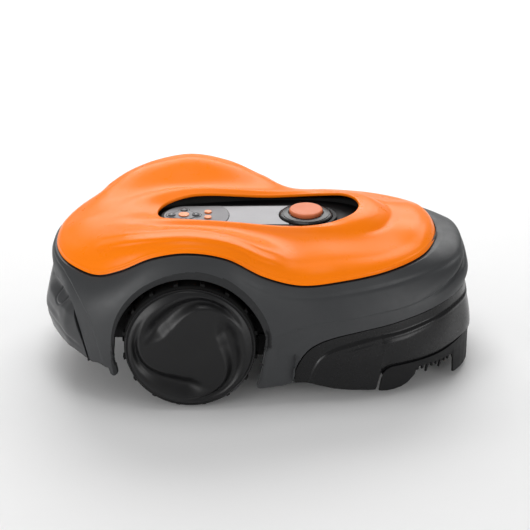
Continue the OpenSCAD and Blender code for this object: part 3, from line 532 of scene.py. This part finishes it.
def add_grey_shell():
    """Grey body shell between the seam and its lower edge, with the wheel arches."""
    edge = grey_edge()
    k_low, z_low, k_top = edge.T
    top = guide(SEAM, k_top)
    z_top = top[:, 2] - SEAM_GAP
    reach = np.hypot((k_top - k_low) * STATION_STEP, z_top - z_low)
    # rows close together next to the edge, for the lip of the arch, then evenly spaced ones
    near = np.array([0, 0.5, 1.2, 2.2, 3.4, 4.6, 5.6, 6.3, 6.9, 7.4, 7.9, 8.4, 9.0, 10, 11.5])
    far = np.linspace(0, 1, 56)[1:, None]
    f = np.concatenate([near[:, None] / reach, (near[-1] + (reach - near[-1]) * far) / reach])
    k = k_low + (k_top - k_low) * f
    z = z_low + (z_top - z_low) * f
    rows = wall(k, z)
    normal = grid_normals(both_sides(rows), True)[:, :len(edge)] * FLIP
    nose = step(3.0, 0.8, k)
    under = below_line(k, z, FACET)
    low_part = step(6.0, 5.7, k)
    lift = corners(k) * step(z_top - 2, z_top - 30, z)
    # the wall steps in under the facet, with a deep groove round the nose and a swell by it
    lift -= low_part * (0.8 * step(-0.4, 0.8, under) + 0.09 * np.clip(under, 0, 16))
    lift -= nose * 3.4 * hump(under, 1.6, 2.6)
    lift += nose * (1.4 * hump(under, -7, 5) + 3.2 * hump(under, 14, 8))
    # a shallow line under the seam in front, and the facet behind the wheel
    lift -= (0.5 + 0.3 * step(6, 4, k)) * hump(z, z_top - 11, 2.2) * step(8, 5.5, k)
    lift -= 1.1 * step(-0.8, 1.4, below_line(k, z, REAR_FACET)) * step(10.3, 10.6, k)
    # the tail swells over its panel and draws in towards the seam
    over = -below_line(k, z, TAIL_SEAM)
    lift += (1.8 * hump(over, 20, 8) - 4.4 * step(18, -1, over)) * step(11.6, 12.6, k)
    # the raised lip round the wheel arch and the soft flare of the leg in front of it
    arch = np.hypot((k - ARCH_STATION) * STATION_STEP, np.maximum(z - WHEEL[2], 0)) - ARCH_R
    band = 9.0 - 2.5 * step(7.6, 9.0, k)
    lip = step(band + 0.7, band - 0.7, arch) * step(5.8, 5.86, k) * step(10.35, 10.25, k)
    lip = lip * np.where(k < ARCH_STATION, step(78.0, 79.5, z), step(36.0, 40.0, z))
    lift += lip * (0.3 - 3.0 * np.clip(1 - arch / band, 0, 1))
    lift += 1.2 * step(5.72, 5.98, k) * step(6.4, 6.2, k) * step(79.5, 76.0, z)
    rows = rows + normal * lift[..., None]
    # the upper edge ends in a ledge and an upstand under the orange cover
    inward = (guide(RIDGE, k_top) - top) * [1, 1, 0]
    inward /= np.linalg.norm(inward, axis=-1, keepdims=True)
    ledge = [rows[-1] + inward * 0.8 + [0, 0, 0.2], rows[-1] + inward * 8,
             rows[-1] + inward * 8.4 + [0, 0, 5]]
    # the lower edge rolls inwards, along normals taken a little above it
    low_normal = normal[2]
    tangent = rows[1] - rows[0]
    tangent /= np.maximum(np.linalg.norm(tangent, axis=-1, keepdims=True), 1e-9)
    roll = [rows[0] - low_normal * 4.0, rows[0] - low_normal * 2.0 - tangent * 0.4,
            rows[0] - low_normal * 0.6 - tangent * 0.2]
    grid = both_sides(np.array(roll + list(rows) + ledge))
    obj = piece_from("grey_shell_skin", grid.reshape(-1, 3),
                     grid_quads(grid.shape[0], grid.shape[1], wrap_cols=True),
                     "covers", GREY, ["grey_shell"], angle=50)
    obj.data.materials.append(GREY_ARCH_SHADE)
    # painted shade: the lip round the wheel arch gets a darker copy of the grey
    shade_marks = np.concatenate([lip[:1]] * len(roll) + [lip] + [lip[-1:]] * len(ledge))
    shade_marks = np.concatenate([shade_marks, shade_marks[:, -2:0:-1]], axis=1)[:-1]
    for polygon, mark in zip(obj.data.polygons, shade_marks.reshape(-1)):
        polygon.material_index = int(mark > 0.5)
    thicken(obj, SKIN_T)


def panel_rows(k, upper, lower, ahead, count):
    """Rows of points from a panel's lower edge to just under the seam above it.

    With them come their normals, the share of the way up and the height.
    """
    high = lookup(k + ahead, upper) - SEAM_GAP
    low = lookup(k, lower)
    f = np.linspace(0, 1, count)[:, None]
    z = low + (high - low) * f
    k = np.broadcast_to(k, z.shape)
    run = wall(k + 0.01, z) - wall(k - 0.01, z)
    normal = np.stack([run[..., 1], -run[..., 0], 0 * z], axis=-1)
    normal /= np.linalg.norm(normal, axis=-1, keepdims=True)
    return wall(k, z), normal, f, z


def add_panel(name, rows, normal, at_nose, material, node):
    """A panel with both long edges rolled in, mirrored across the middle plane."""
    lower = [rows[0] - normal[0] * d + [0, 0, h] for d, h in ((9, 3), (2.5, 0.2), (0.8, 0))]
    upper = [rows[-1] - normal[-1] * d + [0, 0, h] for d, h in ((0.8, 0.3), (6, 0.3))]
    half = np.array(lower + list(rows) + upper)
    if at_nose:
        grid = np.concatenate([half[:, ::-1], (half * FLIP)[:, 1:]], axis=1)
    else:
        grid = np.concatenate([half, (half * FLIP)[:, -2::-1]], axis=1)
    obj = piece_from(name, grid.reshape(-1, 3), grid_quads(*grid.shape[:2]), "covers", material,
                     [node], angle=50)
    thicken(obj, SKIN_T)


def add_front_fascia():
    """Black nose panel, creased along the ridge where it turns under."""
    k = np.concatenate([np.linspace(0, 3.3, 60), np.linspace(3.32, 3.64, 24),
                        np.linspace(3.68, 4.8, 44), np.linspace(4.82, 5.34, 40)])
    rows, normal, f, z = panel_rows(k, NOSE_SEAM, FASCIA_EDGE, ahead=0.02, count=61)
    under = below_line(k, z, FASCIA_RIDGE)
    lift = corners(k) - 1.0 - 1.2 * step(0.5, 3.5, k)
    # crisp along the ridge, with a second soft line under it and a swell lower down
    lift = lift - 1.2 * step(1.2, -1.2, under) + 0.9 * hump(under, 2.4, 2.0)
    lift += 0.5 * hump(under, 9.5, 2.0) * step(2.6, 3.2, k) * step(4.5, 4.0, k)
    swell = (3.6 - 2.6 * step(2.6, 1.2, k)) * step(5.2, 4.0, k)
    lift += swell * np.sin(np.pi * np.clip(f, 0, 1)) * step(-3, 8, under)
    rows = rows + normal * lift[..., None]
    add_panel("front_fascia_skin", rows, normal, True, BLACK_GLOSS, "front_fascia")


def add_tail_panel():
    """Black tail panel with its grooves."""
    k = np.linspace(11.0, 14, 130)
    rows, normal, f, z = panel_rows(k, TAIL_SEAM, TAIL_EDGE, ahead=-0.05, count=61)
    side = step(11.0, 11.7, k)
    lift = corners(k) - 1.2 - 6.4 * step(104, 125, z) * side + 6.0 * hump(z, 86, 19) * side
    # a U-shaped groove below the seam, then a level and a slanted one
    across = (k - 12.33) * STATION_STEP
    groove = np.abs(np.hypot(across, np.minimum(z - 117, 0)) - 12.0)
    lift -= 1.2 * hump(groove, 0, 1.4)
    lift -= 1.6 * hump(z, 92, 5) * step(11.9, 12.3, k) * step(13.2, 12.8, k)
    lift -= 1.0 * hump(below_line(k, z, [[11, 66], [12.2, 82], [14, 80]]), 0, 3) * side
    lift += 0.9 * hump(k, 11.75, 0.16)
    rows = rows + normal * lift[..., None]
    add_panel("tail_panel_skin", rows, normal, False, TAIL_SATIN, "tail_panel")


add_top_cover()
add_grey_shell()
add_front_fascia()
add_tail_panel()

# ---------------------------------------------------------------- wheels

TYRE_IN, TYRE_W, BEAD_R, TREAD_R = 126.0, 34.0, 75.6, 79.0
LUG_H, LUGS, LUG_IN = 3.0, 16, 8.5
CAP_R, CAP_FACE, CAP_H = 77.3, 170.0, 10.0
SCOOP_STARTS, SCOOP_END, SCOOP_DEPTH = (57.4, 177.4, 297.4), 175, 9.0     # degrees, degrees, mm
# Ridge of a scoop in the hub cap: degrees clockwise from its start, share of the cap's radius
SCOOP = [[0, 0.69], [8, 0.58], [16, 0.505], [30, 0.455], [48, 0.455], [66, 0.51], [84, 0.615],
         [100, 0.72], [115, 0.775], [130, 0.805], [150, 0.825], [175, 0.835]]


def cap_height(r, angle):
    """Height of the cap's outer face over its rim, with r as a share of its radius."""
    high = CAP_H - 6.4 * step(0.8, 1.02, r) - 1.0 * r**2 - 1.8 * step(0.45, 0.0, r)
    for start in SCOOP_STARTS:
        turn = np.mod(start - np.degrees(angle), 360)
        near = lookup(np.minimum(turn, SCOOP_END), SCOOP)
        far = lookup(np.minimum(turn + 120, SCOOP_END), SCOOP) + 0.08 * step(50, 90, turn)
        f = (r - near) / np.maximum(far - near, 0.03)
        depth = SCOOP_DEPTH * step(0, 34, turn) * step(160, 95, turn)
        high = high - depth * step(-0.1, 0.45, f) * step(1.04, 0.45, f)
    return high - 1.3 * hump(r * CAP_R, CAP_R - 2.2, 0.8)


def hub_cap(side, flip_y):
    """Hub cap with three scoops that swirl round its middle."""
    turns = 216
    shares = np.concatenate([np.linspace(0, 0.94, 64)[1:], np.linspace(0.945, 1.0, 12)])
    angles = np.linspace(0, 2 * math.pi, turns, endpoint=False)
    verts = [(0, 0, float(cap_height(np.array(0.0), np.array(0.0))))]
    for share in shares:
        high = cap_height(share + 0 * angles, angles)
        verts += [(CAP_R * share * math.cos(a), CAP_R * share * math.sin(a), h)
                  for a, h in zip(angles, high)]
    back = ((CAP_R + 0.2, 1.2), (CAP_R + 0.2, 0.9), (CAP_R - 0.4, 0.6), (CAP_R - 6, 0.6))
    for r, z in back:
        verts += [(r * math.cos(a), r * math.sin(a), z) for a in angles]
    rings = len(shares) + len(back)
    faces = [(0, 1 + i, 1 + (i + 1) % turns) for i in range(turns)]
    faces += grid_quads(rings, turns, wrap_cols=True, start=1)
    last = 1 + (rings - 1) * turns
    faces.append(tuple(range(last, last + turns)))
    move = WHEEL + [0, -(CAP_FACE - CAP_H), 0]
    piece_from(f"hub_cap_skin_{side}", placed(verts, move, 90, flip_y), faces, f"wheel_{side}",
               HUB_BLACK, [f"hub_cap_{side}"])


def lug(row, i):
    """One tread block, tapered and with a chamfer round its top."""
    a = math.radians((i + row / 2) * 360 / LUGS)
    c, s = math.cos(a), math.sin(a)
    z = LUG_IN if row == 0 else TYRE_W - LUG_IN
    half = [(2.6, 4.5), (2.5, 4.4), (2.1, 4.0)]
    heights = [TREAD_R - 0.6, TREAD_R + LUG_H - 0.9, TREAD_R + LUG_H - 0.25]
    verts, faces = [], []
    for (w, d), r in zip(half, heights):
        for y, dz in ((-w, -d), (w, -d), (w, d), (-w, d)):
            verts.append((r * c - y * s, r * s + y * c, z + dz))
    for low in (0, 4):
        faces += [(low + j, low + (j + 1) % 4, low + 4 + (j + 1) % 4, low + 4 + j) for j in range(4)]
    faces += [(3, 2, 1, 0), (8, 9, 10, 11)]
    return verts, faces


def tyre(side, flip_y):
    """Tyre with two staggered rows of lugs."""
    ring = rounded([(BEAD_R, 0.5), (77, 0), (TREAD_R, 2.5), (TREAD_R, TYRE_W - 3),
                    (77.4, TYRE_W), (BEAD_R, TYRE_W - 0.5)], 1.5)
    ring = ring + [(BEAD_R, 1.0)]
    lugs = [lug(row, i) for row in (0, 1) for i in range(LUGS)]
    verts, faces = joined([lathe(ring, 128)] + lugs)
    piece_from(f"tyre_skin_{side}", placed(verts, WHEEL + [0, -TYRE_IN, 0], 90, flip_y), faces,
               f"wheel_{side}", RUBBER, [f"tyre_{side}"], angle=35)


for side, flip_y in (("right", False), ("left", True)):
    hub_cap(side, flip_y)
    tyre(side, flip_y)

# ---------------------------------------------------------------- console

PANEL_TOP, KEY_TOP, PAD_X, ARROW_AT = 184.0, 185.8, -92.0, 15.0
BEZEL_Z = 177.2         # where the shroud leaves the bezel
BEZEL_BOX = [-114, 0, 0], [92, 28, 0]     # corners of half the bezel's outline
SHROUD_OUT = 13.0       # how far outside the slot's edge the shroud stands up
SHROUD_ROOM = 6.0       # room between the shroud and the cover over it
PAD_R, LOBE_R = 19.1, 6.4


def pad_radius(a):
    """Radius of the four-lobed pad round the arrow keys."""
    diamond = PAD_R / (np.abs(np.cos(a)) + np.abs(np.sin(a)))
    off = np.mod(a + math.pi / 4, math.pi / 2) - math.pi / 4
    room = LOBE_R**2 - (ARROW_AT * np.sin(off)) ** 2
    lobe = np.where(room > 0, ARROW_AT * np.cos(off) + np.sqrt(np.maximum(room, 0)), 0)
    return np.maximum(diamond, lobe)


def add_pad_trim():
    """Dark line let into the keypad round the pad."""
    a = np.linspace(0, 2 * math.pi, 240, endpoint=False)
    r = pad_radius(a)
    section = ((0.1, 0.0), (0.1, 0.2), (0.4, 0.3), (1.2, 0.3), (1.5, 0.2), (1.5, 0.0))
    rings = [np.stack([PAD_X + (r + grow) * np.cos(a), (r + grow) * np.sin(a),
                       PANEL_TOP + z + 0 * a], axis=1) for grow, z in section]
    faces = grid_quads(len(rings), len(a), wrap_rows=True, wrap_cols=True)
    piece_from("pad_trim", np.concatenate(rings), faces, "chassis", BLACK_GLOSS)


def add_arrow_marks():
    """A small triangle on each arrow key, pointing away from the middle of the pad."""
    for name, turn in (("up", 0), ("left", 90), ("down", 180), ("right", 270)):
        c, s = math.cos(math.radians(turn)), math.sin(math.radians(turn))
        tip = [(2.2, 0), (-0.9, 2.1), (-0.4, 0), (-0.9, -2.1)]
        outline = [(PAD_X + c * (ARROW_AT + x) - s * y, s * (ARROW_AT + x) + c * y) for x, y in tip]
        verts, faces = extrude(outline, KEY_TOP - 0.05, KEY_TOP + 0.12)
        piece_from(f"arrow_mark_{name}", verts, faces, f"button_{name}", WINDOW_GREY,
                   flat=True)


def add_shroud():
    """Flange under the slot's edge, from the bezel out to below the covers."""
    t = np.linspace(0, LAST, 121)
    lip, valley = guide(LIP, t), guide(VALLEY, t)
    share = SHROUD_OUT / np.linalg.norm((valley - lip)[:, :2], axis=1)
    share = np.minimum(share, 1)[:, None]
    top = (lip + (valley - lip) * share - SHROUD_ROOM) * [0, 0, 1]
    edge = lip * [1, 1, 0]
    out = edge / np.linalg.norm(edge, axis=-1, keepdims=True)
    inner = np.clip(edge, *BEZEL_BOX)
    rows = [inner + [0, 0, BEZEL_Z + 0.4], inner * 0.5 + edge * 0.5 + [0, 0, BEZEL_Z + 0.2],
            edge + out * 10 + [0, 0, BEZEL_Z], edge + out * 12 + [0, 0, BEZEL_Z + 0.6],
            edge + out * 12.8 + [0, 0, BEZEL_Z + 1.5], edge + out * SHROUD_OUT + top]
    grid = both_sides(np.array(rows))
    obj = piece_from("console_shroud", grid.reshape(-1, 3),
                     grid_quads(grid.shape[0], grid.shape[1], wrap_cols=True),
                     "chassis", BLACK_MATT)
    thicken(obj, SKIN_T)


def add_dial():
    """Ring of the height dial, with the well that the stop button sits in."""
    profile = [(33, 180.2), (33, 183.6), (32.6, 184.7), (31.4, 185.7), (29.9, 186.3), (29.6, 185.7),
               (29.1, 185.7), (28.8, 186.4), (24.6, 187.3), (22.4, 187.4), (21.7, 187.0),
               (21.6, 183.2), (4.8, 183.2), (4.8, 180.2), (33, 180.2)]
    verts, faces = lathe(profile, 128)
    piece_from("dial_skin", placed(verts, (DIAL_X, 0, 0)), faces, "dial", BLACK_GLOSS,
               ["height_dial"], angle=30)


def add_stop_button():
    """Round stop button with a slightly hollow top."""
    profile = rounded([(0, 186.3), (20.8, 186.3), (21, 190.6), (19.6, 192.2), (16, 192.3)], 1.2)
    profile += [(12, 192.0), (6, 191.8), (0, 191.7)]
    verts, faces = lathe(profile, 96)
    piece_from("stop_skin", placed(verts, (DIAL_X, 0, 0)), faces, "stop", STOP_ORANGE,
               ["stop_button"], angle=30)


add_shroud()
add_pad_trim()
add_arrow_marks()
add_dial()
add_stop_button()
# the CAD's edges that show are rounded, each by its width
for node, width in (("comb_guard", 0.4), ("console_bezel", 0.5), ("keypad_panel", 0.3),
                    ("window_panel", 0.3), ("key_ok", 0.4), ("key_upper", 0.5),
                    ("key_lower", 0.5), ("chassis_tub", 0.8), ("chassis_lid", 0.6)):
    bevel(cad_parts[node], width)

# ---------------------------------------------------------------- stage, light and camera

def add_stage():
    """Pale studio floor that curves up into a wall behind the mower."""
    mesh = bpy.data.meshes.new("floor")
    size, depth, radius = 6.0, 3.5, 1.2
    profile = [(-size, 0.0), (depth - radius, 0.0)]
    profile += [(depth - radius + radius * math.sin(a), radius * (1 - math.cos(a)))
                for a in np.radians(np.linspace(7.5, 90, 12))]
    profile += [(depth, size)]
    verts = [(x, y, z) for x in (-size, size) for y, z in profile]
    n = len(profile)
    mesh.from_pydata(verts, [], [(i, i + 1, n + i + 1, n + i) for i in range(n - 1)])
    mesh.shade_smooth()
    floor = bpy.data.objects.new("floor", mesh)
    bpy.context.scene.collection.objects.link(floor)
    mesh.materials.append(plastic("studio_floor", (0.84, 0.84, 0.84), 0.6, vary=0.01, specular=0.2))


def area_light(name, place, target, size, power, size_y):
    """Rectangular light, in metres and watts, that faces its target."""
    data = bpy.data.lights.new(name, "AREA")
    data.shape = "RECTANGLE"
    data.size, data.size_y = size, size_y
    data.energy = power
    obj = bpy.data.objects.new(name, data)
    obj.location = place
    obj.rotation_mode = "QUATERNION"
    obj.rotation_quaternion = (Vector(target) - Vector(place)).to_track_quat("-Z", "Y")
    bpy.context.scene.collection.objects.link(obj)


def add_light():
    """Soft studio light: white surroundings and four large lights."""
    world = bpy.data.worlds.new("studio")
    world.use_nodes = True
    world.node_tree.nodes["Background"].inputs["Color"].default_value = (1, 1, 1, 1)
    world.node_tree.nodes["Background"].inputs["Strength"].default_value = 0.36
    bpy.context.scene.world = world
    area_light("back", (0.1, 1.7, 1.5), (0, 0, 0.05), 2.4, 42, 1.3)
    area_light("over", (-0.2, 0.0, 2.1), (0, 0, 0.1), 1.2, 10, 0.8)
    area_light("left", (-1.5, -1.2, 0.45), (-0.1, -0.1, 0.1), 0.9, 14, 0.8)
    area_light("right", (1.5, -1.3, 0.45), (0.1, -0.1, 0.1), 0.9, 10, 0.8)


def add_camera():
    """Camera at the photograph's angle, nearly side-on and a little from above."""
    target = Vector((9 * MM, 0, 115 * MM))
    distance, elevation, azimuth = 2.4, math.radians(24.8), math.radians(-1.0)
    back = Vector((math.sin(azimuth) * math.cos(elevation),
                   -math.cos(azimuth) * math.cos(elevation), math.sin(elevation)))
    data = bpy.data.cameras.new("camera")
    data.sensor_width, data.lens = 36, 129.3
    data.clip_end = 30
    camera = bpy.data.objects.new("camera", data)
    camera.location = target + back * distance
    camera.rotation_mode = "QUATERNION"
    camera.rotation_quaternion = (-back).to_track_quat("-Z", "Y")
    bpy.context.scene.collection.objects.link(camera)
    bpy.context.scene.camera = camera


add_stage()
add_light()
add_camera()
bpy.context.scene.view_settings.view_transform = "Standard"
